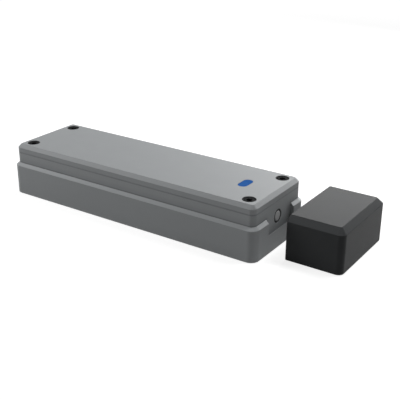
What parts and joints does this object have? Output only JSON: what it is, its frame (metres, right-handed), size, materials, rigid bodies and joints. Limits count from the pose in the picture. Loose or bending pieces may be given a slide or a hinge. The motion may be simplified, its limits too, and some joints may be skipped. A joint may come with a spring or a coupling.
{
  "type": "wireless door sensor with magnet block",
  "caption": "Long slim sensor case with a stepped rim, screwed lid, blue status window and end button, and a separate bevelled magnet block for the door.",
  "frame": {"origin": "centre of the sensor case's underside, where it is stuck to the door frame", "axes": "+X along the case towards the magnet block, +Y across the case, +Z out through the lid"},
  "size_m": [0.1865, 0.0576, 0.027],
  "materials": {
    "case_grey": "fine satin grain, moulded",
    "screw_black": "black oxide",
    "window_blue": "translucent blue, polished",
    "button_grey": "satin",
    "seal_black": "matt silicone",
    "gasket_black": "matt silicone",
    "brass": "turned",
    "tape_foam": "foam tape",
    "board_green": "solder mask",
    "steel": "zinc plated",
    "tray_black": "moulded",
    "cell_wrap": "printed sleeve, plain",
    "contact_nickel": "nickel plated spring steel",
    "lead_red": "insulation",
    "lead_black": "insulation",
    "connector_white": "nylon",
    "module_green": "solder mask",
    "can_metal": "tin plated can",
    "chip_black": "moulded epoxy",
    "capacitor_sleeve": "sleeved can",
    "reed_glass": "clear",
    "lamp_white": "moulded",
    "magnet_black": "satin, moulded",
    "ferrite": "sintered"
  },
  "bodies": {
    "sensor_base": {"base_case": "case_grey", "threaded_inserts": "brass", "gasket": "gasket_black", "mounting_tape": "tape_foam", "circuit_board": "board_green", "board_screws": "steel", "battery_tray": "tray_black", "battery_cell_1": "cell_wrap", "battery_cell_2": "cell_wrap", "positive_contact": "contact_nickel", "negative_contact": "contact_nickel", "contact_bridge": "contact_nickel", "lead_red": "lead_red", "lead_black": "lead_black", "battery_header": "connector_white", "lead_plug": "connector_white", "radio_module": "module_green", "radio_shield": "can_metal", "aerial": "contact_nickel", "controller_chip": "chip_black", "hold_up_capacitor": "capacitor_sleeve", "reed_glass": "reed_glass", "reed_wires": "contact_nickel", "status_lamp": "lamp_white", "press_switch": "chip_black", "button_seal": "seal_black"},
    "lid_unit": {"lid": "case_grey", "light_pipe": "window_blue"},
    "lid_screw_1": {"lid_screw_1": "screw_black"},
    "lid_screw_2": {"lid_screw_2": "screw_black"},
    "lid_screw_3": {"lid_screw_3": "screw_black"},
    "lid_screw_4": {"lid_screw_4": "screw_black"},
    "button": {"button_cap": "button_grey", "switch_plunger": "chip_black"},
    "magnet_unit": {"magnet_housing": "magnet_black", "magnet_plate": "magnet_black", "bar_magnet": "ferrite", "magnet_tape": "tape_foam"}
  },
  "joints": [
    {"name": "lid_lift", "type": "slide", "parent": "sensor_base", "child": "lid_unit", "axis": [0, 0, 1], "range_m": [0, 0.04]},
    {"name": "button_press", "type": "slide", "parent": "sensor_base", "child": "button", "axis": [-1, 0, 0], "range_m": [0, 0.0006], "stiffness_N_per_m": 800, "springref_m": -0.0004},
    {"name": "magnet_travel", "type": "slide", "parent": "sensor_base", "child": "magnet_unit", "axis": [1, 0, 0], "range_m": [0, 0.1]},
    {"name": "lid_screw_1_turn", "type": "hinge", "parent": "lid_unit", "child": "lid_screw_1", "pos_m": [0.06675, 0.01535, 0.0238], "axis": [0, 0, 1], "continuous": true},
    {"name": "lid_screw_2_turn", "type": "hinge", "parent": "lid_unit", "child": "lid_screw_2", "pos_m": [0.06675, -0.01535, 0.0238], "axis": [0, 0, 1], "continuous": true},
    {"name": "lid_screw_3_turn", "type": "hinge", "parent": "lid_unit", "child": "lid_screw_3", "pos_m": [-0.06675, -0.01535, 0.0238], "axis": [0, 0, 1], "continuous": true},
    {"name": "lid_screw_4_turn", "type": "hinge", "parent": "lid_unit", "child": "lid_screw_4", "pos_m": [-0.06675, 0.01535, 0.0238], "axis": [0, 0, 1], "continuous": true}
  ]
}
